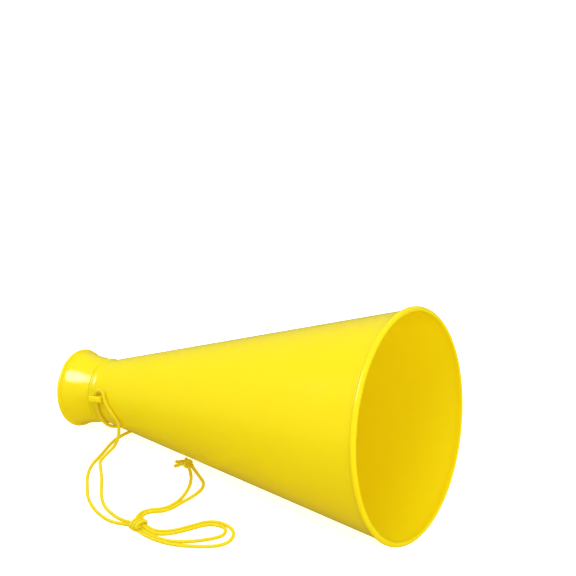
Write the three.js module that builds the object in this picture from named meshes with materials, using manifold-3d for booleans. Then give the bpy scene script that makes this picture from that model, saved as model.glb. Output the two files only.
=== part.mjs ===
// Moulded plastic cheer megaphone, lying on its side with its neck cord spread on the floor.
// Millimetres, +Z up. The floor is z = 0, the bell opens towards +X and the mouth points to -X.
// The origin is on the floor, under the middle of the horn and mouthpiece.
import * as THREE from 'three';
import { mergeVertices } from 'three/addons/utils/BufferGeometryUtils.js';
import Module from 'manifold-3d';

// ---- Horn ------------------------------------------------------------------------------------
const HORN_LENGTH = 308.5;        // bell face to the end of the neck
const BELL_RADIUS = 96.8;         // outside of the bell's rim bead
const BELL_BEAD = 2.2;            // radius of the rim bead's rounding
const BELL_STEP = 3.1;            // how far the rim bead stands out from the cone
const BELL_FILLET = 3.6;          // length of the slope behind the bead
const NECK_RADIUS = 28.4;         // outside of the neck, under its collar
const NECK_LENGTH = 6.9;          // straight neck at the end of the cone
const WALL = 2.0;                 // moulded wall
const COLLAR_HEIGHT = 1.3;        // how far the neck's collar ridge stands out
const COLLAR_WIDTH = 3.3;
const COLLAR_ROUND = 0.8;         // how far its rounded edges reach along the neck

// ---- Mouthpiece, a push fit in the neck ------------------------------------------------------
const FIT_GAP = 0.3;              // clearance around the spigot and under the shoulder
const SPIGOT_LENGTH = 13.5;
const THROAT_DEPTH = 4.0;         // below the shoulder, where the straight bore starts
const MOUTH_LENGTH = 31.2;        // shoulder to the lip's end
const WAIST_STEP = 0.5;           // how far the waist stands out past the neck
const LIP_RADIUS = 35.2;          // outside of the lip bead
const LIP_BEAD = 2.2;

// ---- Cord lugs -------------------------------------------------------------------------------
const LUG_LENGTH = 14.5;          // along the horn
const LUG_WIDTH = 5.5;            // around the horn
const LUG_STRAP = 2.0;            // thickness of the lug's strap and feet
const LUG_TURN = 282;             // degrees around the horn from its top, towards +Y
const LUG_FROM_END = 4.7;         // neck's end to the lug

// ---- Neck cord -------------------------------------------------------------------------------
const CORD_RADIUS = 1.5;
const CORD_PLAY = 0.35;           // between the cord and the horn it lies against
const CORD_FROM_END = 11.0;       // neck's end to the middle of the cord's turn round the neck
const CORD_PAST_LUG = 5;          // degrees the turn reaches past the middle of each lug

const SIDES = 72;                 // flats around the horn
const ARC_STEP = Math.PI / 6;     // facets along a rounded bead

const DEG = Math.PI / 180;
const wasm = await Module();
wasm.setup();

// ---- Derived sizes ---------------------------------------------------------------------------
const CONE_START = 2 * BELL_BEAD + BELL_FILLET;
const CONE_END = HORN_LENGTH - NECK_LENGTH;
const CONE_WIDE = BELL_RADIUS - BELL_STEP;
const coneRadius = (s) => CONE_WIDE + (NECK_RADIUS - CONE_WIDE) * (s - CONE_START) / (CONE_END - CONE_START);
const SOCKET_RADIUS = NECK_RADIUS - WALL;
const SPIGOT_RADIUS = SOCKET_RADIUS - FIT_GAP;
const SHOULDER = HORN_LENGTH + FIT_GAP;
const bellBead = { s: BELL_BEAD, r: BELL_RADIUS - BELL_BEAD, radius: BELL_BEAD };
const lipBead = { s: SHOULDER + MOUTH_LENGTH - LIP_BEAD, r: LIP_RADIUS - LIP_BEAD, radius: LIP_BEAD };

// The horn lies on two beads, so its axis tips down towards the mouth.
const beadSpan = Math.hypot(lipBead.s - bellBead.s, bellBead.r - lipBead.r);
const TILT = Math.atan2(bellBead.r - lipBead.r, lipBead.s - bellBead.s)
  + Math.asin((bellBead.radius - lipBead.radius) / beadSpan);
const AXIS_HEIGHT = bellBead.s * Math.sin(TILT) + bellBead.r * Math.cos(TILT) + bellBead.radius;

// ---- Helpers ---------------------------------------------------------------------------------
function plastic(color, roughness) {
  return new THREE.MeshStandardMaterial({ color, roughness, metalness: 0 });
}

function toManifold(geometry) {
  const bare = geometry.clone();
  bare.deleteAttribute('normal');
  bare.deleteAttribute('uv');
  const merged = mergeVertices(bare, 1e-4);
  return new wasm.Manifold(new wasm.Mesh({
    numProp: 3,
    vertProperties: new Float32Array(merged.attributes.position.array),
    triVerts: new Uint32Array(merged.index.array),
  }));
}

function toGeometry(manifold) {
  const mesh = manifold.getMesh();
  const geometry = new THREE.BufferGeometry();
  geometry.setAttribute('position', new THREE.BufferAttribute(new Float32Array(mesh.vertProperties), 3));
  geometry.setIndex(new THREE.BufferAttribute(new Uint32Array(mesh.triVerts), 1));
  geometry.computeVertexNormals();
  return geometry;
}

// Turns a closed outline of [radius, distance along the axis] into a solid round the local Y axis.
// The flats, not the corners, lie on the stated radii, and one flat faces straight down.
function turned(outline) {
  const step = 2 * Math.PI / SIDES;
  const toCorner = 1 / Math.cos(step / 2);
  const points = outline.map(([r, s]) => new THREE.Vector2(r * toCorner, s));
  points.push(points[0].clone());
  return new THREE.LatheGeometry(points, SIDES, -step / 2);
}

// Points on a bead, at whole arc steps either side of where it would touch the floor.
function beadArc(bead, firstStep, lastStep) {
  const points = [];
  for (let k = firstStep; k <= lastStep; k += 1) {
    const angle = TILT + k * ARC_STEP;
    points.push([bead.r + bead.radius * Math.cos(angle), bead.s + bead.radius * Math.sin(angle)]);
  }
  return points;
}

// ---- Horn shell ------------------------------------------------------------------------------
function hornShell() {
  const collarStart = HORN_LENGTH - COLLAR_WIDTH;
  const collarTop = NECK_RADIUS + COLLAR_HEIGHT;
  const collarShoulder = NECK_RADIUS + COLLAR_HEIGHT / 2;
  return turned([
    [bellBead.r, 0],
    ...beadArc(bellBead, -2, 2),
    [coneRadius(CONE_START), CONE_START],
    [NECK_RADIUS, CONE_END],
    [NECK_RADIUS, collarStart],
    [collarShoulder, collarStart + COLLAR_ROUND / 4],
    [collarTop, collarStart + COLLAR_ROUND],
    [collarTop, HORN_LENGTH - COLLAR_ROUND],
    [collarShoulder, HORN_LENGTH],
    [SOCKET_RADIUS, HORN_LENGTH],
    [SOCKET_RADIUS, CONE_END],
    [coneRadius(CONE_START) - WALL, CONE_START],
    [coneRadius(0) - WALL, 0],
  ]);
}

// A belt-loop lug: a strap along the horn on two feet, rooted half way into the wall.
function lug(turn) {
  const far = HORN_LENGTH - LUG_FROM_END;
  const near = far - LUG_LENGTH;
  const root = (s) => Math.max(coneRadius(s), NECK_RADIUS) - WALL / 2;
  const hole = coneRadius(near + LUG_STRAP) + 2 * (CORD_RADIUS + CORD_PLAY);
  const top = hole + LUG_STRAP;
  const corner = LUG_STRAP;
  const outline = new THREE.Shape();
  outline.moveTo(root(far), far);
  outline.lineTo(top - 1.5 * corner, far);
  outline.quadraticCurveTo(top, far, top, far - 1.5 * corner);
  outline.lineTo(top, near + 1.5 * corner);
  outline.quadraticCurveTo(top, near, top - 1.5 * corner, near);
  outline.lineTo(root(near), near);
  outline.lineTo(root(near + LUG_STRAP), near + LUG_STRAP);
  outline.lineTo(hole - corner / 2, near + LUG_STRAP);
  outline.lineTo(hole, near + LUG_STRAP + corner / 2);
  outline.lineTo(hole, far - LUG_STRAP - corner / 2);
  outline.lineTo(hole - corner / 2, far - LUG_STRAP);
  outline.lineTo(root(far - LUG_STRAP), far - LUG_STRAP);
  outline.closePath();
  const solid = new THREE.ExtrudeGeometry(outline, { depth: LUG_WIDTH, bevelEnabled: false, curveSegments: 3 });
  solid.translate(0, 0, -LUG_WIDTH / 2);
  solid.rotateY((turn - 90) * DEG);
  return solid;
}

// ---- Mouthpiece ------------------------------------------------------------------------------
// Outside radius of the flared mouth, from its waist to the root of the lip bead.
const WAIST_RADIUS = NECK_RADIUS + WAIST_STEP;
const FLARE_END = MOUTH_LENGTH - 2.5 * LIP_BEAD;
const FLARE_RADIUS = lipBead.r;
const flare = (u) => WAIST_RADIUS + (FLARE_RADIUS - WAIST_RADIUS) * u ** 1.6;

function mouthpieceShell() {
  const stations = [0, 0.25, 0.5, 0.75, 1];
  const outside = stations.map((u) => [flare(u), SHOULDER + u * FLARE_END]);
  const inside = stations.slice(1).reverse().map((u) => [flare(u) - WALL, SHOULDER + u * FLARE_END]);
  const bore = SPIGOT_RADIUS - WALL;
  return turned([
    [bore, SHOULDER - SPIGOT_LENGTH],
    [SPIGOT_RADIUS, SHOULDER - SPIGOT_LENGTH],
    [SPIGOT_RADIUS, SHOULDER],
    ...outside,
    ...beadArc(lipBead, -2, 3),
    [lipBead.r - LIP_BEAD, lipBead.s + LIP_BEAD / 2],
    ...inside,
    [bore, SHOULDER - THROAT_DEPTH],
  ]);
}

// ---- Neck cord -------------------------------------------------------------------------------
// A point beside the horn, from its distance along the axis, its radius and its turn in degrees.
const axis = new THREE.Vector3(-Math.cos(TILT), 0, -Math.sin(TILT));
const top = new THREE.Vector3(-Math.sin(TILT), 0, Math.cos(TILT));
const side = new THREE.Vector3(0, 1, 0);

function besideHorn(bellCentre, s, r, turn) {
  return bellCentre.clone()
    .addScaledVector(axis, s)
    .addScaledVector(top, r * Math.cos(turn * DEG))
    .addScaledVector(side, r * Math.sin(turn * DEG));
}

// A smooth route whose tube has one ring at each chosen point, so tight turns keep their points.
class Route extends THREE.CatmullRomCurve3 {
  getPointAt(u, target) {
    return this.getPoint(u, target);
  }

  getTangentAt(u, target) {
    return this.getTangent(u, target);
  }
}

function cordTube(points) {
  const section = new THREE.Shape();
  for (let k = 0; k < 8; k += 1) {
    const angle = (k + 0.5) * Math.PI / 4;
    const corner = [CORD_RADIUS * Math.cos(angle), CORD_RADIUS * Math.sin(angle)];
    if (k === 0) section.moveTo(...corner);
    else section.lineTo(...corner);
  }
  section.closePath();
  return new THREE.ExtrudeGeometry(section, {
    steps: points.length - 1,
    extrudePath: new Route(points, false, 'centripetal'),
  });
}

// Turns round the neck, under it, from beyond one lug's eye to beyond the other's.
function neckTurn(bellCentre) {
  const along = HORN_LENGTH - CORD_FROM_END;
  const radius = coneRadius(along - CORD_RADIUS) + CORD_RADIUS + CORD_PLAY;
  const points = [];
  const rings = 15;
  for (let k = 0; k < rings; k += 1) {
    const turn = LUG_TURN + CORD_PAST_LUG - k * (180 + 2 * CORD_PAST_LUG) / (rings - 1);
    points.push(besideHorn(bellCentre, along, radius, turn));
  }
  return points;
}

// Routes in millimetres. The first points of each leg go over the end of a lug, given beside the
// horn as [distance along the axis, radius, turn]; the rest are [x, y, z] on or above the floor.
const NEAR_LEG_OVER_LUG = [
  [297.5, 31.7, 288.3], [297.0, 31.9, 290.8], [295.2, 32.4, 293.2], [292.2, 33.1, 294.2],
  [289.3, 33.7, 292.9], [287.5, 34.0, 289.2], [286.4, 34.2, 284.0], [284.2, 34.5, 277.2],
  [281.2, 35.1, 270.0], [278.4, 35.7, 263.5], [275.8, 36.3, 257.0], [274.0, 36.8, 250.0],
];
const NEAR_LEG = [
  [-104.2, -35.0, 26.5], [-104.6, -36.0, 19.0], [-107.0, -37.8, 11.5], [-111.0, -41.4, 5.4],
  [-112.8, -46.6, 2.2], [-111.4, -53.2, 1.6], [-106.6, -59.6, 1.6], [-99.8, -67.6, 1.6],
  [-92.2, -76.6, 1.6], [-83.2, -89.2, 1.6], [-74.2, -100.6, 1.6], [-62.6, -111.0, 1.6],
  [-48.0, -117.6, 1.6], [-38.0, -119.4, 1.8], [-32.6, -119.8, 2.6],
];
const FAR_LEG_OVER_LUG = [
  [297.5, 31.7, 95.7], [297.0, 31.9, 93.2], [295.2, 32.4, 90.8], [292.2, 33.1, 89.8],
  [289.3, 33.7, 91.1], [287.5, 34.0, 94.8], [286.6, 34.2, 100.2], [285.4, 34.4, 108.0],
  [284.5, 34.8, 116.0],
];
const FAR_LEG = [
  [-115.6, 32.6, 22.0], [-116.2, 33.4, 13.5], [-117.2, 31.6, 6.2], [-118.3, 26.0, 2.3],
  [-119.4, 17.0, 1.6], [-120.8, 7.0, 1.6], [-122.8, -3.5, 1.6], [-123.4, -14.0, 1.6],
  [-122.0, -25.0, 1.6], [-119.4, -37.0, 1.6], [-117.0, -48.0, 1.6], [-114.8, -58.0, 1.6],
  [-111.0, -69.0, 1.6], [-104.0, -81.4, 1.6], [-94.8, -93.6, 1.6], [-84.6, -105.8, 1.6],
  [-73.6, -115.0, 1.6], [-61.4, -121.8, 1.6], [-49.4, -125.6, 1.6], [-40.0, -125.4, 1.8],
  [-33.2, -124.2, 2.6],
];
const OUTER_LOOP = [
  [-14.2, -127.4, 2.4], [-7.2, -128.0, 1.7], [2.0, -128.4, 1.6], [13.0, -127.0, 1.6],
  [24.0, -123.2, 1.6], [35.5, -117.0, 1.6], [46.8, -108.4, 1.6], [51.4, -99.0, 1.6],
  [49.8, -89.0, 1.6], [44.6, -82.2, 1.6], [36.6, -78.8, 1.6], [27.8, -79.2, 1.6],
  [20.0, -84.8, 1.6], [13.2, -96.0, 1.6], [6.0, -107.8, 1.6], [-1.8, -115.0, 1.6],
  [-8.6, -117.6, 1.8], [-13.6, -118.0, 2.6],
];
const INNER_LOOP = [
  [-13.2, -124.0, 2.4], [-6.4, -124.6, 1.7], [2.0, -124.9, 1.6], [11.6, -123.2, 1.6],
  [21.4, -118.0, 1.6], [32.0, -108.6, 1.6], [40.4, -98.0, 1.6], [42.2, -90.6, 1.6],
  [38.6, -84.0, 1.6], [30.6, -83.0, 1.6], [22.4, -88.0, 1.6], [15.4, -99.2, 1.6],
  [8.4, -110.4, 1.6], [1.0, -118.0, 1.6], [-6.0, -121.0, 1.8], [-12.8, -121.2, 2.6],
];
const INNER_END = [
  [-29.8, -112.6, 3.0], [-32.0, -106.6, 1.8], [-32.2, -100.0, 1.6], [-28.4, -93.6, 1.6],
  [-22.0, -87.0, 1.6], [-18.5, -79.6, 1.6], [-17.4, -68.0, 1.6], [-19.6, -55.0, 1.6],
  [-23.6, -43.0, 1.6], [-29.4, -32.4, 1.6], [-35.2, -25.0, 1.8], [-38.3, -21.9, 2.4],
];
const OUTER_END = [
  [-26.2, -111.8, 3.0], [-28.6, -106.2, 1.8], [-28.8, -100.8, 1.6], [-25.8, -95.6, 1.6],
  [-19.0, -89.2, 1.6], [-15.2, -80.4, 1.6], [-13.6, -70.0, 1.6], [-11.4, -57.4, 1.6],
  [-11.4, -43.2, 1.6], [-16.6, -33.8, 1.6], [-24.0, -26.8, 1.6], [-31.4, -21.0, 1.8],
  [-35.7, -18.0, 2.4],
];
const UPPER_TAIL = [[-50.0, -15.2, 3.0], [-52.6, -16.0, 1.9], [-55.8, -17.0, 1.6]];
const LOWER_TAIL = [[-48.6, -19.6, 2.8], [-50.8, -21.6, 1.8], [-53.2, -23.6, 1.6]];

// Each knot is one lump: its centre on the floor, half sizes, and turn about Z in degrees.
const BUNDLE_KNOT = { at: [-23.0, -121.0], half: [8.2, 7.4, 4.8], turn: 0 };
const END_KNOT = { at: [-43.2, -16.6], half: [6.0, 4.6, 3.7], turn: -40 };

function knot({ at, half, turn }) {
  const solid = new THREE.SphereGeometry(1, 16, 10);
  solid.rotateX(Math.PI / 2);
  solid.scale(...half);
  solid.rotateZ(turn * DEG);
  solid.translate(at[0], at[1], half[2] + 0.1);
  return solid;
}

// ---- Assembly --------------------------------------------------------------------------------
const megaphone = new THREE.Group();
const yellow = plastic(0xf6dc1e, 0.28);
const cordYellow = plastic(0xefd21c, 0.75);

function add(parent, name, geometry, material) {
  const mesh = new THREE.Mesh(geometry, material);
  mesh.name = name;
  parent.add(mesh);
  return mesh;
}

// Local Y runs along the horn from the bell, and local Z is its top.
const horn = new THREE.Group();
horn.setRotationFromMatrix(new THREE.Matrix4().makeBasis(side, axis, top));
horn.position.set(0, 0, AXIS_HEIGHT);
const shell = toManifold(hornShell()).add(toManifold(lug(LUG_TURN))).add(toManifold(lug(LUG_TURN - 180)));
add(horn, 'horn', toGeometry(shell), yellow);
add(horn, 'mouthpiece', mouthpieceShell(), yellow);
megaphone.add(horn);

horn.updateWorldMatrix(true, true);
const extent = new THREE.Box3().setFromObject(horn, true);
horn.position.x -= (extent.min.x + extent.max.x) / 2;
horn.position.y -= (extent.min.y + extent.max.y) / 2;
const bellCentre = horn.position;

const vector = ([x, y, z]) => new THREE.Vector3(x, y, z);
const overLug = (points) => points.map(([s, r, turn]) => besideHorn(bellCentre, s, r, turn));
const routes = {
  cord_neck_turn: neckTurn(bellCentre),
  cord_near_leg: [...overLug(NEAR_LEG_OVER_LUG), ...NEAR_LEG.map(vector)],
  cord_far_leg: [...overLug(FAR_LEG_OVER_LUG), ...FAR_LEG.map(vector)],
  cord_outer_loop: OUTER_LOOP.map(vector),
  cord_inner_loop: INNER_LOOP.map(vector),
  cord_inner_end: INNER_END.map(vector),
  cord_outer_end: OUTER_END.map(vector),
  cord_upper_tail: UPPER_TAIL.map(vector),
  cord_lower_tail: LOWER_TAIL.map(vector),
};
for (const [name, points] of Object.entries(routes)) {
  add(megaphone, name, cordTube(points), cordYellow);
}
add(megaphone, 'bundle_knot', knot(BUNDLE_KNOT), cordYellow);
add(megaphone, 'end_knot', knot(END_KNOT), cordYellow);

export default megaphone;
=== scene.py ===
# %% [markdown]
# # A cheer megaphone lying on the floor
# The object is a moulded yellow plastic horn with a push-fit mouthpiece and a braided neck cord.
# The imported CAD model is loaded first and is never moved. Each visual piece is then made in the
# same frame, in metres, and rides on the CAD body that it belongs to.

# %% Load the frame
import math

import bpy
from mathutils import Matrix, Vector


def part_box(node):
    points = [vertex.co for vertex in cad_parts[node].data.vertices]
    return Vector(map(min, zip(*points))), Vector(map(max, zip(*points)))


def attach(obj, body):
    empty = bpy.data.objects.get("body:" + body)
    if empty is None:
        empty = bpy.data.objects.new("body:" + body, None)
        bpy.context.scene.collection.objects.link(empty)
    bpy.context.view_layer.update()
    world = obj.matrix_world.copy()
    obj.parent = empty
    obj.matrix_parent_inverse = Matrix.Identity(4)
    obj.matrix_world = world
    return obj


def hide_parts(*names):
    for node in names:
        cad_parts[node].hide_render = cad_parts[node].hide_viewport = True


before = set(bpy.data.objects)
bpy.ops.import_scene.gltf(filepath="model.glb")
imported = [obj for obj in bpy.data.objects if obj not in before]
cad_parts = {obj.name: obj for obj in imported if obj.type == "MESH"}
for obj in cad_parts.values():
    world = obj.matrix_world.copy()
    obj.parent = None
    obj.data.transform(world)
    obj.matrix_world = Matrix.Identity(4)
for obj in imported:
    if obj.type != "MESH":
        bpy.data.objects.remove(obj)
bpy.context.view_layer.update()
MM = 0.001

# %% [markdown]
# ## Camera
# A long lens from far away keeps the horn's two ends close to their true proportions. The camera
# stands in front of the bell, well above it, and leans very slightly, as a hand-set tripod does.
# Its axes are built from an azimuth, a pitch and a roll, so each can be read and changed alone.

# %% Place the camera
CAMERA_PLACE = Vector((595.15, -967.60, 673.38)) * MM
CAMERA_AZIMUTH = math.radians(29.737)
CAMERA_PITCH = math.radians(23.571)
CAMERA_ROLL = math.radians(1.932)

camera_data = bpy.data.cameras.new("camera")
camera_data.lens = 93.58
camera_data.sensor_width = 36.0
camera = bpy.data.objects.new("camera", camera_data)
bpy.context.scene.collection.objects.link(camera)
camera.matrix_world = (
    Matrix.Translation(CAMERA_PLACE)
    @ Matrix.Rotation(CAMERA_AZIMUTH, 4, "Z")
    @ Matrix.Rotation(math.pi / 2 - CAMERA_PITCH, 4, "X")
    @ Matrix.Rotation(CAMERA_ROLL, 4, "Z")
)
bpy.context.scene.camera = camera
print("camera at", [round(v, 3) for v in CAMERA_PLACE], "lens", camera_data.lens, "mm")

# %% [markdown]
# ## Helpers for node trees
# Materials and Geometry Nodes trees are both made of nodes joined by links. A few small helpers keep
# the later cells short: one adds a node and fills its inputs, one does a step of arithmetic, and two
# open and end a Geometry Nodes tree. The last one puts a new object into the scene.

# %% Node helpers
def put(tree, kind, inputs=None, **settings):
    """Adds a node. A value that is a socket is linked, and any other value is typed in."""
    made = tree.nodes.new(kind)
    for key, value in settings.items():
        setattr(made, key, value)
    for key, value in (inputs or {}).items():
        if isinstance(value, bpy.types.NodeSocket):
            tree.links.new(value, made.inputs[key])
        else:
            made.inputs[key].default_value = value
    return made


def calc(tree, operation, *values):
    """One Math node, and its result."""
    kind = "ShaderNodeMath"
    return put(tree, kind, dict(enumerate(values)), operation=operation).outputs[0]


def open_tree(name, settings):
    """A Geometry Nodes tree with some named settings, and the sockets that they come in by."""
    tree = bpy.data.node_groups.new(name, "GeometryNodeTree")
    tree.interface.new_socket("Geometry", in_out="INPUT", socket_type="NodeSocketGeometry")
    for label, kind, value in settings:
        made = tree.interface.new_socket(label, in_out="INPUT", socket_type=kind)
        if value is not None:
            made.default_value = value
    tree.interface.new_socket("Geometry", in_out="OUTPUT", socket_type="NodeSocketGeometry")
    return tree, tree.nodes.new("NodeGroupInput").outputs


def end_tree(tree, geometry, finish):
    """Smooths the geometry, makes it real, gives it its material and sends it out."""
    smooth = put(tree, "GeometryNodeSetShadeSmooth", {"Geometry": geometry})
    whole = put(tree, "GeometryNodeRealizeInstances", {"Geometry": smooth.outputs[0]})
    finished = put(tree, "GeometryNodeSetMaterial", {"Geometry": whole.outputs[0], "Material": finish})
    output = tree.nodes.new("NodeGroupOutput")
    tree.links.new(finished.outputs[0], output.inputs[0])
    return tree


def link_piece(name, data):
    """A new object at the origin, unturned and unscaled."""
    piece = bpy.data.objects.new(name, data)
    bpy.context.scene.collection.objects.link(piece)
    return piece


print("helpers ready")

# %% [markdown]
# ## Cord finish
# The neck cord is a round braid of about sixteen polyester yarns. Up close it shows small diamonds,
# where yarns cross over and under each other. The pattern could be an image, but here it is
# arithmetic on the cord's own UV map: two families of slanting bands, of which one is on top in
# each diamond. The height drives a bump, and the colour is darker in the deep gaps between the
# yarns: painted shade, standing in for the shade that the crossing yarns cast there.

# %% Braided cord material
CORD_DIAMETER = 3.0 * MM
BRAID_BANDS = 8
# The darker yarn colour is painted shade, used in the gaps between crossing yarns.
GAP_SHADE_YARN = (0.82, 0.60, 0.008, 1.0)
PALE_YARN = (0.92, 0.78, 0.022, 1.0)


def cord_finish():
    material = bpy.data.materials.new("braided_yellow_cord")
    material.use_nodes = True
    tree = material.node_tree
    shader = tree.nodes["Principled BSDF"]
    place = put(tree, "ShaderNodeUVMap", uv_map="along_cord").outputs[0]
    across = put(tree, "ShaderNodeSeparateXYZ", {0: place})
    around = calc(tree, "MULTIPLY", across.outputs[0], BRAID_BANDS)
    along = calc(tree, "MULTIPLY", across.outputs[1], BRAID_BANDS * 0.62)
    right = calc(tree, "ADD", around, along)
    left = calc(tree, "SUBTRACT", around, along)
    cells = calc(tree, "ADD", calc(tree, "FLOOR", right), calc(tree, "FLOOR", left))
    on_top = calc(tree, "ABSOLUTE", calc(tree, "MODULO", cells, 2.0))
    bands = []
    for band in (left, right):
        middle = calc(tree, "SUBTRACT", calc(tree, "FRACT", band), 0.5)
        from_middle = calc(tree, "ABSOLUTE", calc(tree, "MULTIPLY", middle, 2.0))
        bands.append(calc(tree, "SUBTRACT", 1.0, calc(tree, "POWER", from_middle, 2.5)))
    first = calc(tree, "MULTIPLY", bands[0], calc(tree, "SUBTRACT", 1.0, on_top))
    height = calc(tree, "MULTIPLY_ADD", bands[1], on_top, first)
    spot = put(tree, "ShaderNodeTexCoord").outputs["Object"]
    fibre = put(tree, "ShaderNodeTexNoise",
                {"Vector": spot, "Scale": 2600.0, "Detail": 3.0, "Roughness": 0.6})
    fuzz = calc(tree, "MULTIPLY_ADD", fibre.outputs[0], 0.35, height)
    # Colour: darker where the braid is low, which is painted shade in the gaps, and varied at random by the
    # fibre noise.
    tint = put(tree, "ShaderNodeMix",
               {"Factor": calc(tree, "MULTIPLY", fuzz, 0.8), 6: GAP_SHADE_YARN, 7: PALE_YARN}, data_type="RGBA")
    bump = put(tree, "ShaderNodeBump", {"Strength": 0.75, "Distance": 0.00022, "Height": fuzz})
    tree.links.new(tint.outputs[2], shader.inputs["Base Color"])
    tree.links.new(bump.outputs[0], shader.inputs["Normal"])
    tree.links.new(calc(tree, "MULTIPLY_ADD", height, -0.15, 0.78), shader.inputs["Roughness"])
    shader.inputs["Sheen Weight"].default_value = 0.03
    shader.inputs["Sheen Roughness"].default_value = 0.5
    shader.inputs["Specular IOR Level"].default_value = 0.12
    return material


braid = cord_finish()
print("cord finish:", len(braid.node_tree.nodes), "nodes")

# %% [markdown]
# ## Cord tube
# A cord is a round section swept along a route. Geometry Nodes do the sweep: the route comes in as a
# chain of points with a thickness on each, an open ring of points is carried along it, and the two
# sides of the ring are joined at the end. The ring stays open until then so that the UV map runs
# once round the cord without a torn face. The ends shrink to a point, so that the tube is closed.

# %% Geometry Nodes tree that sweeps a cord
def cord_tree():
    tree, given = open_tree("sweep_cord", [
        ("Radius", "NodeSocketFloat", CORD_DIAMETER / 2),
        ("Sides", "NodeSocketInt", 16),
        ("Finish", "NodeSocketMaterial", braid),
    ])
    route = put(tree, "GeometryNodeMeshToCurve", {"Mesh": given["Geometry"]}).outputs[0]
    distance = put(tree, "GeometryNodeSplineParameter").outputs["Length"]
    girth = calc(tree, "MULTIPLY", given["Radius"], 2 * math.pi)
    girths_along = calc(tree, "DIVIDE", distance, girth)
    kept_along = put(tree, "GeometryNodeStoreNamedAttribute",
                     {"Geometry": route, "Name": "cord_along", "Value": girths_along})
    ring = put(tree, "GeometryNodeCurveArc", {"Resolution": calc(tree, "ADD", given["Sides"], 1.0),
                                              "Radius": given["Radius"], "Sweep Angle": 2 * math.pi})
    turn = put(tree, "GeometryNodeSplineParameter").outputs["Factor"]
    kept_around = put(tree, "GeometryNodeStoreNamedAttribute",
                      {"Geometry": ring.outputs[0], "Name": "cord_around", "Value": turn})
    thickness = put(tree, "GeometryNodeInputNamedAttribute", {"Name": "thickness"}).outputs["Attribute"]
    swept = put(tree, "GeometryNodeCurveToMesh",
                {"Curve": kept_along.outputs[0], "Profile Curve": kept_around.outputs[0], "Scale": thickness})
    around = put(tree, "GeometryNodeInputNamedAttribute", {"Name": "cord_around"}).outputs["Attribute"]
    along = put(tree, "GeometryNodeInputNamedAttribute", {"Name": "cord_along"}).outputs["Attribute"]
    both = put(tree, "ShaderNodeCombineXYZ", {0: around, 1: along}).outputs[0]
    mapped = put(tree, "GeometryNodeStoreNamedAttribute", data_type="FLOAT2", domain="CORNER")
    tree.links.new(swept.outputs[0], mapped.inputs["Geometry"])
    mapped.inputs["Name"].default_value = "along_cord"
    tree.links.new(both, mapped.inputs["Value"])
    closed = put(tree, "GeometryNodeMergeByDistance", {"Geometry": mapped.outputs[0], "Distance": 1e-6})
    return end_tree(tree, closed.outputs[0], given["Finish"])


sweep = cord_tree()
print("cord tree:", len(sweep.nodes), "nodes")

# %% [markdown]
# ## Making a piece from a tree
# A modifier runs the tree on a source mesh. Its inputs are set by the identifier of each socket,
# then the evaluated result is copied into a plain mesh, and the source is thrown away.

# %% Run a tree on a mesh
def shape_from(tree, name, source, **values):
    worker = link_piece(name + "_source", source)
    modifier = worker.modifiers.new("shape", "NODES")
    modifier.node_group = tree
    for socket in tree.interface.items_tree:
        key = socket.name.lower().replace(" ", "_")
        if socket.in_out == "INPUT" and key in values:
            modifier[socket.identifier] = values[key]
    graph = bpy.context.evaluated_depsgraph_get()
    made = bpy.data.meshes.new_from_object(worker.evaluated_get(graph), depsgraph=graph)
    bpy.data.objects.remove(worker)
    made.name = name
    made.validate()
    print(name, "has", len(made.polygons), "faces")
    return link_piece(name, made)


# %% [markdown]
# ## Smooth routes
# A cord's route is chosen as a few dozen points, and a Catmull-Rom curve passes through them all.
# The curve is then walked in equal steps, so that the rings of the tube are evenly spaced and the
# list of ring centres is also the cord's true length.

# %% Smooth a route and walk it
CORD_STEP = 0.9 * MM
SPLINE_STEPS = 12


def through(points):
    """A smooth line through chosen points, in many small steps, never lower than a cord can lie."""
    ends = [2 * points[0] - points[1], *points, 2 * points[-1] - points[-2]]
    fine = []
    for before, start, stop, after in zip(ends, ends[1:], ends[2:], ends[3:]):
        for k in range(SPLINE_STEPS):
            t = k / SPLINE_STEPS
            once = 2 * start + (stop - before) * t
            twice = (2 * before - 5 * start + 4 * stop - after) * t ** 2
            thrice = (3 * start - before - 3 * stop + after) * t ** 3
            fine.append(0.5 * (once + twice + thrice))
    fine.append(points[-1])
    return [Vector((x, y, max(z, CORD_DIAMETER / 2))) for x, y, z in fine]


def walked(fine, step):
    """The same line, in equal steps."""
    total = length_of(fine)
    count = max(2, round(total / step))
    spacing, walked_points, carried = total / count, [fine[0]], 0.0
    for a, b in zip(fine, fine[1:]):
        length = (b - a).length
        while carried + length >= spacing * len(walked_points) and len(walked_points) < count:
            walked_points.append(a.lerp(b, (spacing * len(walked_points) - carried) / length))
        carried += length
    return walked_points + [fine[-1]]


def length_of(line):
    return sum((b - a).length for a, b in zip(line, line[1:]))


def in_metres(points):
    return [Vector(p) * MM for p in points]


print("route helpers ready")

# %% Make a tube, or several, along routes
END_ROUNDING = (0.0, 0.55, 0.85, 1.0)
CAP_SHARES = (0.22, 0.16, 0.06)


def chain_mesh(name, lines):
    """One chain of points for each line, with a thickness that shrinks to nothing at both ends."""
    points, edges, thick = [], [], []
    for line in lines:
        first = len(points)
        points += [tuple(p) for p in line]
        edges += [(first + k, first + k + 1) for k in range(len(line) - 1)]
        for k in range(len(line)):
            from_end = min(k, len(line) - 1 - k)
            thick.append(END_ROUNDING[min(from_end, len(END_ROUNDING) - 1)])
    chain = bpy.data.meshes.new(name)
    chain.from_pydata(points, edges, [])
    chain.attributes.new("thickness", "FLOAT", "POINT").data.foreach_set("value", thick)
    return chain


def with_round_ends(line):
    """Adds the close points at each end where the tube rounds off."""
    def cap(end, inner):
        back = (end - inner).normalized() * CORD_DIAMETER
        return [end + back * share for share in CAP_SHARES]
    return cap(line[0], line[1]) + line[:] + cap(line[-1], line[-2])[::-1]


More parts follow.
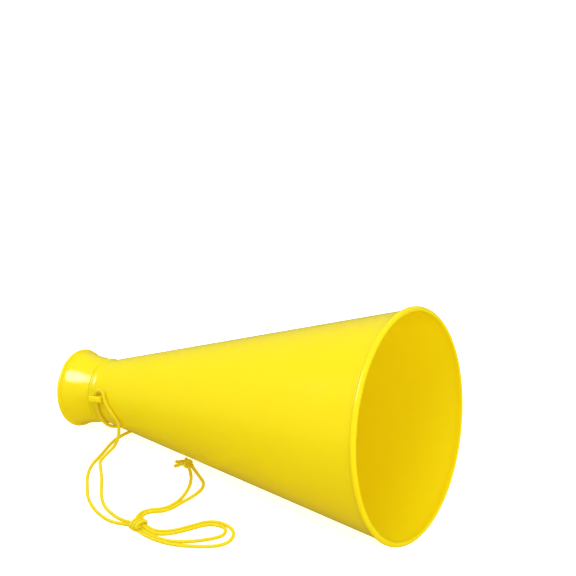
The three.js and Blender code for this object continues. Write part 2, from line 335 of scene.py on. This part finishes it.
def cord_piece(name, routes, nodes):
    lines = [with_round_ends(walked(through(route), CORD_STEP)) for route in routes]
    piece = shape_from(sweep, name, chain_mesh(name, lines))
    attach(piece, "root")
    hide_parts(*nodes)
    return piece, lines


print("cord maker ready, step", CORD_STEP / MM, "mm")

# %% [markdown]
# ## Horn sizes
# The cord passes through lugs on the horn, so the horn's main sizes come first. They are the same
# as in the CAD model. A point beside the horn is given by its distance from the bell along the axis,
# its radius, and its turn round the axis from the top.

# %% Sizes shared with the CAD model
HORN_LENGTH, NECK_LENGTH = 308.5, 6.9
BELL_RADIUS, NECK_RADIUS, WALL = 96.8, 28.4, 2.0
RIM_BEAD, RIM_STEP, CONE_START = 2.2, 3.1, 8.0
FIT_GAP, SPIGOT_LENGTH, MOUTH_LENGTH, LIP_RADIUS, LIP_BEAD = 0.3, 13.5, 31.2, 35.2, 2.2
LUG_TURN = 282.0
SHOULDER = HORN_LENGTH + FIT_GAP
CONE_END, CONE_WIDE = HORN_LENGTH - NECK_LENGTH, BELL_RADIUS - RIM_STEP

lip_place = SHOULDER + MOUTH_LENGTH - LIP_BEAD
TILT = math.atan2(BELL_RADIUS - RIM_BEAD - LIP_RADIUS + LIP_BEAD, lip_place - RIM_BEAD)
bell_high = RIM_BEAD * math.sin(TILT) + (BELL_RADIUS - RIM_BEAD) * math.cos(TILT) + RIM_BEAD
rim_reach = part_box("horn")[1][0] / MM
bell_ahead = (BELL_RADIUS - RIM_BEAD) * math.sin(TILT) - RIM_BEAD * math.cos(TILT) + RIM_BEAD
bell_centre = Vector((rim_reach - bell_ahead, 0.0, bell_high))
print("tilt", round(math.degrees(TILT), 3), "degrees, bell centre", [round(v, 2) for v in bell_centre])


# %% Points beside the horn
def cone_radius(along):
    return CONE_WIDE + (NECK_RADIUS - CONE_WIDE) * (along - CONE_START) / (CONE_END - CONE_START)


HORN_TURN = Matrix.Rotation(-math.pi / 2 - TILT, 3, "Y")


def beside_horn(along, radius, turn):
    turn = math.radians(turn)
    return bell_centre + HORN_TURN @ Vector((radius * math.cos(turn), radius * math.sin(turn), along))


print("cone radius at the neck", round(cone_radius(CONE_END), 2), "mm")

# %% [markdown]
# ## Neck cord
# The real cord is one length of braid. It passes under the neck from lug to lug, each end turns over
# its lug and hangs down the horn's side to the floor, and both run into one slip knot. Beyond the
# knot they make a long doubled loop, come back, wrap round the bundle, and run up to an end knot.
# It is made as three tubes that meet inside the lugs: the turn under the neck and two halves. Each
# half really runs through the slip knot, round its loop and back through the knot again. The turns
# round the two knots and the cut ends are short tubes of their own.

# %% Route under the neck
TURN_PAST_LUG, TURN_STEPS = 5, 14
turn_along = HORN_LENGTH - 11.0
turn_radius = cone_radius(turn_along - 1.5) + 1.85
turn_sweep = 180 + 2 * TURN_PAST_LUG
neck_turns = [LUG_TURN + TURN_PAST_LUG - k * turn_sweep / TURN_STEPS for k in range(TURN_STEPS + 1)]
neck_route = [beside_horn(turn_along, turn_radius, turn) * MM for turn in neck_turns]
neck_turn, neck_lines = cord_piece("neck_cord_turn", [neck_route], ["cord_neck_turn"])
print("turn under the neck:", round(length_of(neck_lines[0]) / MM, 1), "mm")

# %% Route of the near half
near_over_lug = [
    (297.5, 31.7, 286.6), (297.4, 31.9, 290.2), (295.8, 32.4, 293.4), (292.2, 33.1, 295.0),
    (288.6, 33.8, 293.6), (286.8, 34.1, 290.0), (286.0, 34.3, 284.6), (284.0, 34.6, 277.4),
    (281.2, 35.1, 270.0), (278.4, 35.7, 263.5), (275.8, 36.3, 257.0), (274.0, 36.8, 250.0),
]
near_leg = [
    (-104.2, -35.0, 26.5), (-104.6, -36.0, 19.0), (-107.0, -37.8, 11.5), (-111.0, -41.4, 5.4),
    (-112.8, -46.6, 2.2), (-111.4, -53.2, 1.6), (-106.6, -59.6, 1.6), (-99.8, -67.6, 1.6),
    (-92.2, -76.6, 1.6), (-83.2, -89.2, 1.6), (-74.2, -100.6, 1.6), (-62.6, -111.0, 1.6),
    (-48.0, -117.6, 1.6), (-38.0, -119.4, 1.8), (-32.6, -119.8, 2.5), (-27.2, -120.8, 3.3),
]
inner_loop = [
    (-21.9, -122.0, 3.6), (-17.3, -123.3, 3.2), (-13.2, -124.2, 2.4), (-6.4, -124.6, 1.7),
    (2.0, -124.9, 1.6), (11.6, -123.2, 1.6), (21.4, -118.0, 1.6), (32.0, -108.6, 1.6),
    (40.4, -98.0, 1.6), (42.2, -90.6, 1.6), (38.6, -84.0, 1.6), (30.6, -83.0, 1.6),
    (22.4, -88.0, 1.6), (15.4, -99.2, 1.6), (8.4, -110.4, 1.6), (1.0, -118.0, 1.6),
    (-6.0, -121.0, 1.8), (-12.8, -121.3, 3.6), (-18.0, -121.1, 5.9),
]
inner_end = [
    (-22.6, -119.4, 6.3), (-26.6, -116.0, 4.6), (-29.8, -111.8, 2.5), (-31.9, -106.6, 1.7),
    (-32.1, -100.2, 1.6), (-28.4, -93.6, 1.6), (-21.8, -87.0, 1.6), (-18.4, -79.6, 1.6),
    (-17.4, -68.0, 1.6), (-19.6, -55.0, 1.6), (-23.6, -43.0, 1.6), (-29.4, -32.4, 1.6),
    (-35.2, -25.0, 1.8), (-38.3, -21.9, 2.5), (-41.2, -19.4, 3.6), (-44.0, -17.4, 3.9),
]
near_route = [beside_horn(*p) * MM for p in near_over_lug]
near_route += in_metres(near_leg + inner_loop + inner_end)
near_half, near_lines = cord_piece("neck_cord_near_half", [near_route],
                                   ["cord_near_leg", "cord_inner_loop", "cord_inner_end"])
print("near half:", round(length_of(near_lines[0]) / MM, 1), "mm")

# %% Route of the far half
far_over_lug = [
    (297.5, 31.7, 97.4), (297.4, 31.9, 93.8), (295.8, 32.4, 90.6), (292.2, 33.1, 89.0),
    (288.6, 33.8, 90.4), (286.8, 34.1, 94.0), (286.2, 34.3, 99.8), (285.3, 34.5, 108.0),
    (284.5, 34.8, 116.0),
]
far_leg = [
    (-115.6, 32.6, 22.0), (-116.2, 33.4, 13.5), (-117.2, 31.6, 6.2), (-118.3, 26.0, 2.3),
    (-119.4, 17.0, 1.6), (-120.8, 7.0, 1.6), (-122.8, -3.5, 1.6), (-123.4, -14.0, 1.6),
    (-122.0, -25.0, 1.6), (-119.4, -37.0, 1.6), (-117.0, -48.0, 1.6), (-114.8, -58.0, 1.6),
    (-111.0, -69.0, 1.6), (-104.0, -81.4, 1.6), (-94.8, -93.6, 1.6), (-84.6, -105.8, 1.6),
    (-73.6, -115.0, 1.6), (-61.4, -121.8, 1.6), (-49.4, -125.6, 1.6), (-40.0, -125.4, 1.8),
    (-33.2, -124.2, 2.4), (-27.9, -124.2, 3.2),
]
outer_loop = [
    (-22.9, -125.0, 3.6), (-18.2, -126.4, 3.1), (-14.2, -127.3, 2.3), (-7.2, -128.0, 1.7),
    (2.0, -128.4, 1.6), (13.0, -127.0, 1.6), (24.0, -123.2, 1.6), (35.5, -117.0, 1.6),
    (46.8, -108.4, 1.6), (51.4, -99.0, 1.6), (49.8, -89.0, 1.6), (44.6, -82.2, 1.6),
    (36.6, -78.8, 1.6), (27.8, -79.2, 1.6), (20.0, -84.8, 1.6), (13.2, -96.0, 1.6),
    (6.0, -107.8, 1.6), (-1.8, -115.0, 1.6), (-8.6, -117.6, 1.8), (-13.6, -118.1, 3.0),
]
outer_end = [
    (-18.0, -117.9, 4.3), (-21.8, -116.6, 4.6), (-24.8, -113.8, 3.4), (-26.8, -110.6, 2.0),
    (-28.6, -106.2, 1.7), (-28.8, -100.8, 1.6), (-25.8, -95.6, 1.6), (-19.0, -89.2, 1.6),
    (-15.2, -80.4, 1.6), (-13.6, -70.0, 1.6), (-11.4, -57.4, 1.6), (-11.4, -43.2, 1.6),
    (-16.0, -33.4, 1.6), (-24.0, -27.0, 1.6), (-31.0, -22.0, 1.8), (-35.4, -19.3, 2.5),
    (-39.2, -16.9, 3.6), (-42.6, -15.0, 3.9),
]
far_route = [beside_horn(*p) * MM for p in far_over_lug]
far_route += in_metres(far_leg + outer_loop + outer_end)
far_half, far_lines = cord_piece("neck_cord_far_half", [far_route],
                                 ["cord_far_leg", "cord_outer_loop", "cord_outer_end"])
print("far half:", round(length_of(far_lines[0]) / MM, 1), "mm")

# %% [markdown]
# ## Knots
# Both knots are the same kind of thing: strands that lie side by side, with tight turns of cord round
# them, nearly three on the slip knot and just over one on the end knot. The turns follow a flattened
# spring, so their points come from a circle that is squeezed to the bundle's width and height. The
# wrap's two ends tuck into the bundle.

# %% Route of a wrap round a bundle
UP = Vector((0.0, 0.0, 1.0))
POINTS_A_TURN = 12


def wrap_route(middle, heading, half_width, half_height, turns, pitch, first_angle):
    """A flattened spring round a line that lies level and points along the heading, in mm."""
    ahead = Vector((math.cos(math.radians(heading)), math.sin(math.radians(heading)), 0.0))
    across = UP.cross(ahead)
    count = round(turns * POINTS_A_TURN)
    route = [middle + ahead * pitch * (-turns / 2)]
    for k in range(count + 1):
        angle = math.radians(first_angle) + 2 * math.pi * turns * k / count
        around = across * half_width * math.cos(angle) + UP * half_height * math.sin(angle)
        route.append(middle + ahead * pitch * turns * (k / count - 0.5) + around)
    return route + [middle + ahead * pitch * (turns / 2)]


print("wrap helper ready")

# %% Slip knot
slip_wrap = wrap_route(Vector((-21.4, -121.8, 5.1)), -14.0, 6.4, 3.6, 2.75, 3.0, 250.0)
slip_knot, _ = cord_piece("neck_cord_slip_knot", [in_metres(slip_wrap)], ["bundle_knot"])
print("slip knot made")

# %% End knot with its two cut ends and a short bight
end_wrap = wrap_route(Vector((-42.8, -17.2, 4.0)), 145.0, 3.5, 2.5, 1.15, 2.8, 200.0)
upper_tail = [
    (-41.0, -15.6, 3.9), (-44.6, -14.9, 3.9), (-47.6, -14.9, 3.6), (-50.0, -15.2, 3.0),
    (-52.6, -16.0, 2.0), (-55.8, -17.0, 1.6),
]
lower_tail = [
    (-42.6, -18.4, 3.9), (-45.6, -18.5, 3.8), (-48.6, -20.0, 2.9), (-50.6, -21.9, 1.9),
    (-52.6, -24.0, 1.6),
]
bight = [
    (-41.0, -18.0, 4.0), (-44.2, -14.8, 4.3), (-47.0, -12.0, 3.4), (-49.4, -9.6, 2.3),
    (-51.0, -8.0, 1.7),
]
end_routes = [in_metres(route) for route in (end_wrap, upper_tail, lower_tail, bight)]
end_knot, _ = cord_piece("neck_cord_end_knot", end_routes,
                         ["end_knot", "cord_upper_tail", "cord_lower_tail"])
print("end knot tails and bight:", [round(length_of(route) / MM, 1) for route in end_routes[1:]], "mm")

print("whole cord:", round(sum(length_of(lines[0]) for lines in (neck_lines, near_lines, far_lines)), 3), "m")

# %% [markdown]
# ## Plastic finish
# The horn and mouthpiece are glossy moulded plastic, a little translucent, so some light comes
# through the thin wall into the bell. Its colour is even, but not flat: it is slightly cloudy, has
# the faint orange peel that a mould leaves, and picks up fine scuffs that make the gloss uneven. All
# three are noise at different sizes on Object coordinates, so the grain has its true size on every
# piece.

# %% Glossy yellow plastic
def plastic_finish(name, pale, deep):
    material = bpy.data.materials.new(name)
    material.use_nodes = True
    tree = material.node_tree
    shader = tree.nodes["Principled BSDF"]
    place = put(tree, "ShaderNodeTexCoord").outputs["Object"]
    cloud = put(tree, "ShaderNodeTexNoise", {"Vector": place, "Scale": 16.0, "Detail": 3.0}).outputs[0]
    tint = put(tree, "ShaderNodeMix", {"Factor": cloud, 6: deep, 7: pale}, data_type="RGBA").outputs[2]
    peel = put(tree, "ShaderNodeTexNoise", {"Vector": place, "Scale": 420.0, "Detail": 2.0}).outputs[0]
    rub_place = put(tree, "ShaderNodeMapping",
                    {"Vector": place, "Rotation": (0.3, 0.2, 0.9), "Scale": (60.0, 900.0, 900.0)}).outputs[0]
    rub = put(tree, "ShaderNodeTexNoise", {"Vector": rub_place, "Scale": 1.0, "Detail": 4.0}).outputs[0]
    scuff = put(tree, "ShaderNodeMapRange", {"Value": rub, "From Min": 0.62, "From Max": 0.80}).outputs[0]
    patch = put(tree, "ShaderNodeTexNoise", {"Vector": place, "Scale": 38.0, "Detail": 2.0}).outputs[0]
    rubbed = calc(tree, "MULTIPLY", scuff, patch)
    dull = calc(tree, "MULTIPLY_ADD", patch, 0.10, 0.13)
    rough = calc(tree, "MULTIPLY_ADD", rubbed, 0.25, dull)
    height = calc(tree, "MULTIPLY_ADD", rubbed, -0.6, peel)
    bump = put(tree, "ShaderNodeBump", {"Strength": 0.12, "Distance": 0.00012, "Height": height})
    tree.links.new(tint, shader.inputs["Base Color"])
    tree.links.new(rough, shader.inputs["Roughness"])
    tree.links.new(bump.outputs[0], shader.inputs["Normal"])
    shader.inputs["IOR"].default_value = 1.5
    shader.inputs["Specular IOR Level"].default_value = 0.32
    shader.inputs["Subsurface Weight"].default_value = 0.4
    shader.inputs["Subsurface Radius"].default_value = (1.0, 0.72, 0.05)
    shader.inputs["Subsurface Scale"].default_value = 0.004
    return material


horn_plastic = plastic_finish("glossy_yellow_horn",
                              (0.975, 0.790, 0.007, 1.0), (0.960, 0.760, 0.004, 1.0))
mouth_plastic = plastic_finish("glossy_yellow_mouthpiece",
                               (0.972, 0.785, 0.007, 1.0), (0.957, 0.755, 0.004, 1.0))
print("plastic finish:", len(horn_plastic.node_tree.nodes), "nodes")

# %% [markdown]
# ## Turning a shell
# The horn and the mouthpiece are round, so each is an outline turned about the horn's axis. Spin
# could do it, but a Geometry Nodes tree keeps the number of sides as a setting: it lays a grid over
# the outline's points, rolls the grid round the axis, closes its seams, adds the lugs where there
# are any, and tips the whole to the way the megaphone lies.

# %% Geometry Nodes tree that turns an outline
def turning_tree():
    tree, given = open_tree("turn_outline", [
        ("Outline Points", "NodeSocketInt", 60),
        ("Sides", "NodeSocketInt", 180),
        ("Lug", "NodeSocketObject", None),
        ("Lug Count", "NodeSocketInt", 0),
        ("Lug Turn", "NodeSocketFloat", 0.0),
        ("Tilt", "NodeSocketFloat", 0.0),
        ("Centre", "NodeSocketVector", (0.0, 0.0, 0.0)),
        ("Finish", "NodeSocketMaterial", None),
    ])
    columns = calc(tree, "ADD", given["Sides"], 1.0)
    rows = calc(tree, "ADD", given["Outline Points"], 1.0)
    grid = put(tree, "GeometryNodeMeshGrid",
               {"Size X": 1.0, "Size Y": 1.0, "Vertices X": columns, "Vertices Y": rows})
    cell = put(tree, "ShaderNodeSeparateXYZ", {0: put(tree, "GeometryNodeInputPosition").outputs[0]})
    angle = calc(tree, "MULTIPLY", calc(tree, "ADD", cell.outputs[0], 0.5), 2 * math.pi)
    up_grid = calc(tree, "ADD", cell.outputs[1], 0.5)
    row = calc(tree, "ROUND", calc(tree, "MULTIPLY", up_grid, given["Outline Points"]))
    point = calc(tree, "MODULO", row, given["Outline Points"])
    taken = put(tree, "GeometryNodeSampleIndex", {"Geometry": given["Geometry"]},
                data_type="FLOAT_VECTOR", domain="POINT")
    tree.links.new(put(tree, "GeometryNodeInputPosition").outputs[0], taken.inputs["Value"])
    tree.links.new(point, taken.inputs["Index"])
    outline = put(tree, "ShaderNodeSeparateXYZ", {0: taken.outputs[0]})
    x = calc(tree, "MULTIPLY", outline.outputs[0], calc(tree, "COSINE", angle))
    y = calc(tree, "MULTIPLY", outline.outputs[0], calc(tree, "SINE", angle))
    rolled_to = put(tree, "ShaderNodeCombineXYZ", {0: x, 1: y, 2: outline.outputs[2]}).outputs[0]
    rolled = put(tree, "GeometryNodeSetPosition", {"Geometry": grid.outputs[0], "Position": rolled_to})
    shell = put(tree, "GeometryNodeMergeByDistance", {"Geometry": rolled.outputs[0], "Distance": 1e-6})
    spots = put(tree, "GeometryNodeMeshLine", {"Count": given["Lug Count"], "Offset": (0.0, 0.0, 0.0)})
    spot = put(tree, "GeometryNodeInputIndex").outputs[0]
    spot_turn = calc(tree, "MULTIPLY_ADD", spot, math.pi, given["Lug Turn"])
    turned = put(tree, "FunctionNodeAxisAngleToRotation", {"Axis": (0.0, 0.0, 1.0), "Angle": spot_turn})
    lug_shape = put(tree, "GeometryNodeObjectInfo", {"Object": given["Lug"]}).outputs["Geometry"]
    lugs = put(tree, "GeometryNodeInstanceOnPoints",
               {"Points": spots.outputs[0], "Instance": lug_shape, "Rotation": turned.outputs[0]})
    joined = put(tree, "GeometryNodeJoinGeometry")
    tree.links.new(shell.outputs[0], joined.inputs[0])
    tree.links.new(lugs.outputs[0], joined.inputs[0])
    lean = calc(tree, "SUBTRACT", -math.pi / 2, given["Tilt"])
    leaning = put(tree, "ShaderNodeCombineXYZ", {1: lean}).outputs[0]
    tipped = put(tree, "GeometryNodeTransform",
                 {"Geometry": joined.outputs[0], "Rotation": leaning, "Translation": given["Centre"]})
    return end_tree(tree, tipped.outputs[0], given["Finish"])


turning = turning_tree()
print("turning tree:", len(turning.nodes), "nodes")

# %% Outline helpers
def arc(centre_along, centre_radius, radius, first, last, steps):
    """Points on a bead, as (radius, along), by angle from straight out towards the mouth."""
    angles = [math.radians(first + (last - first) * k / steps) for k in range(steps + 1)]
    return [(centre_radius + radius * math.cos(a), centre_along + radius * math.sin(a)) for a in angles]


def bend(start, corner, stop, steps=6):
    """A soft corner between two points of an outline."""
    made = []
    for k in range(steps + 1):
        t = k / steps
        place = [a * (1 - t) ** 2 + 2 * b * t * (1 - t) + c * t * t for a, b, c in zip(start, corner, stop)]
        made.append(tuple(place))
    return made


def straight(start, stop, spacing=12.0):
    """Points along a straight run, close together at its ends so that the shading stays true."""
    length = math.dist(start, stop)
    near = min(0.4, length / 4)
    count = max(1, round((length - 2 * near) / spacing))
    shares = [near / length + (1 - 2 * near / length) * k / count for k in range(count + 1)]
    return [tuple(a + (b - a) * t for a, b in zip(start, stop)) for t in shares]


def outline_mesh(name, outline):
    mesh = bpy.data.meshes.new(name)
    mesh.from_pydata([(r * MM, 0.0, s * MM) for r, s in outline], [], [])
    return mesh


print("outline helpers ready")

# %% [markdown]
# ## Horn outline
# From the bell, the outline goes over the rolled rim bead, down into a fine groove behind it, up a
# short hollow that catches the light, and along the straight cone to the neck and its collar ridge.
# It comes back inside along the wall. Corners are small curves, because moulded plastic has none
# that are sharp, and a sharp one never glints.

# %% Horn outline
def on_cone(along, depth=0.0):
    return (cone_radius(along) - depth, along)


RIM_ROUND = 2.6
COLLAR_WIDTH, COLLAR_RUN, COLLAR_HEIGHT, COLLAR_STEPS = 3.3, 3.1, 1.1, 12
SOCKET_RADIUS, SOCKET_EDGE = NECK_RADIUS - WALL, 0.3
HOLLOW_END = 15.0
collar_start = HORN_LENGTH - COLLAR_WIDTH

rim = arc(RIM_ROUND, BELL_RADIUS - 0.1 - RIM_ROUND, RIM_ROUND, -120, 80, 24)
groove = [(94.44, 5.32)]
hollow = bend((94.86, 5.6), (93.5, 8.0), on_cone(HOLLOW_END), 10)
collar = []
for k in range(1, COLLAR_STEPS):
    swell = COLLAR_HEIGHT * math.sin(math.pi * k / COLLAR_STEPS) ** 0.9
    collar.append((NECK_RADIUS + swell, collar_start + COLLAR_RUN * k / COLLAR_STEPS))
horn_outline = (
    rim + groove + hollow
    + straight(on_cone(HOLLOW_END), (NECK_RADIUS, CONE_END))
    + straight((NECK_RADIUS, CONE_END), (NECK_RADIUS, collar_start), 2.0)
    + collar
    + [(NECK_RADIUS, HORN_LENGTH), (SOCKET_RADIUS + SOCKET_EDGE, HORN_LENGTH)]
    + [(SOCKET_RADIUS, HORN_LENGTH - SOCKET_EDGE)]
    + straight((SOCKET_RADIUS, HORN_LENGTH - SOCKET_EDGE), (SOCKET_RADIUS, CONE_END), 3.0)
    + straight((SOCKET_RADIUS, CONE_END), on_cone(6.2, WALL))
    + bend(on_cone(6.0, WALL), (92.55, 3.0), (92.7, 1.0))
    + [(92.74, 0.6)]
)
print("horn outline:", len(horn_outline), "points")

# %% [markdown]
# ## Cord lugs
# Each lug is a belt loop moulded with the horn: a strap that stands on two feet, wide enough for the
# cord to pass under it. It is made once, as a rounded section carried along the strap, and widens
# at the feet where it grows out of the wall. The tree then places it on both sides of the neck.

# %% Lug mesh
LUG_FAR, LUG_LENGTH, LUG_WIDTH, LUG_STRAP = HORN_LENGTH - 4.7, 14.5, 5.5, 2.0
LUG_CLEAR = 3.7
LUG_SIDES = 16


def lug_line():
    """The middle of the strap, as (radius, along): up one foot, along the top and down the other."""
    near, half = LUG_FAR - LUG_LENGTH, LUG_STRAP / 2
    top = cone_radius(near + LUG_STRAP) + LUG_CLEAR + half
    left, right = near + half, LUG_FAR - half
    line = [(cone_radius(left) - 1.2, left)]
    line += straight((cone_radius(left) - 0.4, left), (top - 2.6, left), 0.8)
    line += bend((top - 2.4, left), (top, left), (top, left + 2.8))
    line += straight((top, left + 3.0), (top, right - 3.0), 1.5)
    line += bend((top, right - 2.8), (top, right), (top - 2.4, right))
    line += straight((top - 2.6, right), (NECK_RADIUS - 0.2, right), 0.8)
    return line + [(NECK_RADIUS - 1.2, right)]


def squared(wave):
    """A sine or cosine made squarer, which turns an oval section into a rounded oblong."""
    return math.copysign(abs(wave) ** 0.6, wave)


def lug_ring(r, s, lean_r, lean_s):
    """One section of the strap, at right angles to the way that its middle line leans."""
    above = r - max(cone_radius(s), NECK_RADIUS)
    foot = 1.0 + 0.55 * max(0.0, 1.0 - max(above, 0.0) / 1.6) ** 2
    ring = []
    for j in range(LUG_SIDES):
        a = 2 * math.pi * (j + 0.5) / LUG_SIDES
        wide = squared(math.cos(a)) * LUG_WIDTH / 2 * (0.75 + 0.25 * foot)
        thick = squared(math.sin(a)) * LUG_STRAP / 2 * foot
        ring.append(((r + thick * lean_s) * MM, wide * MM, (s - thick * lean_r) * MM))
    return ring


def lug_mesh():
    line = lug_line()
    points, faces = [], []
    for k, (r, s) in enumerate(line):
        before, after = line[max(k - 1, 0)], line[min(k + 1, len(line) - 1)]
        size = math.dist(before, after)
        points += lug_ring(r, s, (after[0] - before[0]) / size, (after[1] - before[1]) / size)
    for k in range(len(line) - 1):
        for j in range(LUG_SIDES):
            a, b = k * LUG_SIDES + j, k * LUG_SIDES + (j + 1) % LUG_SIDES
            faces.append((a, b, b + LUG_SIDES, a + LUG_SIDES))
    faces.append(tuple(reversed(range(LUG_SIDES))))
    faces.append(tuple(range(len(points) - LUG_SIDES, len(points))))
    mesh = bpy.data.meshes.new("cord_lug")
    mesh.from_pydata(points, [], faces)
    return mesh


def face_outwards(mesh):
    """Turns every face round if the closed mesh is inside out, and gives the mesh's volume."""
    volume = 0.0
    for face in mesh.polygons:
        corners = [mesh.vertices[i].co for i in face.vertices]
        for b, c in zip(corners[1:], corners[2:]):
            volume += corners[0].dot(b.cross(c))
    if volume < 0:
        mesh.flip_normals()
    return abs(volume) / 6


lug = link_piece("cord_lug", lug_mesh())
print("lug volume", round(face_outwards(lug.data) * 1e9), "cubic mm")

# %% Turn the horn
horn = shape_from(turning, "megaphone_horn", outline_mesh("horn_outline", horn_outline),
                  outline_points=len(horn_outline), sides=180, lug=lug, lug_count=2,
                  lug_turn=math.radians(LUG_TURN), tilt=TILT, centre=bell_centre * MM, finish=horn_plastic)
bpy.data.objects.remove(lug)
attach(horn, "root")
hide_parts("horn")
print("horn volume", round(face_outwards(horn.data) * 1e6, 1), "ml of plastic")

# %% [markdown]
# ## Mouthpiece
# The mouthpiece is a second moulding: a spigot that pushes into the neck, a shoulder that meets the
# collar with a hairline gap, and a mouth that flares to a rolled lip. It uses the same tree with no
# lugs.

# %% Turn the mouthpiece
def flare(share):
    return NECK_RADIUS + 0.5 + (LIP_RADIUS - LIP_BEAD - NECK_RADIUS - 0.5) * share ** 1.6


SPIGOT_RADIUS = SOCKET_RADIUS - FIT_GAP
BORE_RADIUS = SPIGOT_RADIUS - WALL
FLARE_STEPS = 14
flare_end = MOUTH_LENGTH - 2.5 * LIP_BEAD
spigot_end = SHOULDER - SPIGOT_LENGTH
stations = [k / FLARE_STEPS for k in range(FLARE_STEPS + 1)]
neck_of_lip = (flare(0.97), SHOULDER + 0.97 * flare_end)
under_lip = (33.3, SHOULDER + flare_end + 0.6)
into_lip = (33.9, SHOULDER + flare_end + 1.5)
mouth_outline = (
    [(BORE_RADIUS + 0.4, spigot_end), (SPIGOT_RADIUS - 0.4, spigot_end), (SPIGOT_RADIUS, spigot_end + 0.5)]
    + straight((SPIGOT_RADIUS, spigot_end + 0.5), (SPIGOT_RADIUS, SHOULDER), 4.0)
    + [(26.2, SHOULDER - 0.2), (28.4, SHOULDER - 0.2), (28.75, SHOULDER - 0.1), (28.9, SHOULDER + 0.2)]
    + [(flare(u), SHOULDER + u * flare_end) for u in stations[1:-1]]
    + bend(neck_of_lip, under_lip, into_lip, 4)
    + arc(lip_place, LIP_RADIUS - LIP_BEAD, LIP_BEAD, -48, 178, 22)
    + [(flare(u) - WALL - 0.2 * (1 - u), SHOULDER + u * flare_end) for u in reversed(stations[2:])]
    + bend((26.9, SHOULDER + 2.4), (26.4, SHOULDER - 1.0), (BORE_RADIUS, SHOULDER - 4.0))
    + straight((BORE_RADIUS, SHOULDER - 4.0), (BORE_RADIUS, spigot_end + 0.4), 4.0)
)
mouthpiece = shape_from(turning, "push_fit_mouthpiece", outline_mesh("mouth_outline", mouth_outline),
                        outline_points=len(mouth_outline), sides=144, tilt=TILT, centre=bell_centre * MM,
                        finish=mouth_plastic)
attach(mouthpiece, "root")
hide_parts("mouthpiece")
print("mouthpiece volume", round(face_outwards(mouthpiece.data) * 1e6, 1), "ml of plastic")

# %% [markdown]
# ## Floor and light
# The megaphone lies on a plain white table that glows a little, as a light table does, so that its
# shadow stays faint. The table is hidden from the plastic's own rays: the world below the horizon
# stands in for it, a little warm, and keeps the underside golden. A wide soft sun gives the cone its
# gradient, one small box makes the crisp band of light along the mouthpiece, and another one, off
# to the side, shines into the bell.

# %% Floor
def floor_finish():
    material = bpy.data.materials.new("white_floor")
    material.use_nodes = True
    tree = material.node_tree
    shader = tree.nodes["Principled BSDF"]
    place = put(tree, "ShaderNodeTexCoord").outputs["Object"]
    grain = put(tree, "ShaderNodeTexNoise", {"Vector": place, "Scale": 90.0, "Detail": 2.0}).outputs[0]
    tint = put(tree, "ShaderNodeMix",
               {"Factor": grain, 6: (0.94, 0.94, 0.94, 1.0), 7: (0.97, 0.97, 0.97, 1.0)}, data_type="RGBA")
    tree.links.new(tint.outputs[2], shader.inputs["Base Color"])
    shader.inputs["Roughness"].default_value = 0.9
    shader.inputs["Specular IOR Level"].default_value = 0.1
    shader.inputs["Emission Color"].default_value = (1.0, 1.0, 1.0, 1.0)
    shader.inputs["Emission Strength"].default_value = 0.78
    return material


floor_mesh = bpy.data.meshes.new("floor")
floor_mesh.from_pydata([(-3, -3, 0), (3, -3, 0), (3, 3, 0), (-3, 3, 0)], [], [(0, 1, 2, 3)])
floor_mesh.materials.append(floor_finish())
floor = link_piece("floor", floor_mesh)
floor.visible_diffuse = False
floor.visible_glossy = False
print("floor made")

# %% Soft boxes
def soft_box(name, place, target, width, height, power):
    data = bpy.data.lights.new(name, "AREA")
    data.shape = "RECTANGLE"
    data.size, data.size_y, data.energy = width, height, power
    light = bpy.data.objects.new(name, data)
    light.location = place
    light.rotation_euler = (Vector(target) - Vector(place)).to_track_quat("-Z", "Y").to_euler()
    bpy.context.scene.collection.objects.link(light)
    return light


gloss_box = soft_box("gloss_box", (-0.80, -0.74, 1.08), (-0.15, 0.0, 0.05), 0.62, 0.62, 22.0)
gloss_box.visible_diffuse = False
bell_box = soft_box("bell_box", (1.40, -0.55, 0.50), (0.16, 0.0, 0.09), 1.2, 1.2, 10.0)
bell_box.visible_glossy = False
print("gloss box and bell box made")

# %% Even light and world
sky_data = bpy.data.lights.new("high_soft_light", "SUN")
sky_data.energy = 1.80
sky_data.angle = math.radians(60)
sky = bpy.data.objects.new("high_soft_light", sky_data)
sky.rotation_euler = (-Vector((-0.35, -0.25, 1.0))).to_track_quat("-Z", "Y").to_euler()
sky.visible_glossy = False
bpy.context.scene.collection.objects.link(sky)

world = bpy.data.worlds.new("studio")
world.use_nodes = True
studio = world.node_tree
direction = put(studio, "ShaderNodeTexCoord").outputs["Generated"]
heading = put(studio, "ShaderNodeSeparateXYZ", {0: direction}).outputs[2]
below = put(studio, "ShaderNodeMapRange", {"Value": heading, "From Min": 0.0, "From Max": -0.35}).outputs[0]
shade = put(studio, "ShaderNodeMix",
            {"Factor": below, 6: (0.55, 0.55, 0.55, 1.0), 7: (1.02, 0.84, 0.50, 1.0)}, data_type="RGBA")
gloss_level = calc(studio, "MULTIPLY_ADD", below, -0.37, 0.52)
seen_in_gloss = put(studio, "ShaderNodeLightPath").outputs["Is Glossy Ray"]
level = put(studio, "ShaderNodeMix", {"Factor": seen_in_gloss, 2: 1.0, 3: gloss_level})
studio.links.new(shade.outputs[2], studio.nodes["Background"].inputs["Color"])
studio.links.new(level.outputs[0], studio.nodes["Background"].inputs["Strength"])
bpy.context.scene.world = world
bpy.context.scene.view_settings.view_transform = "Standard"
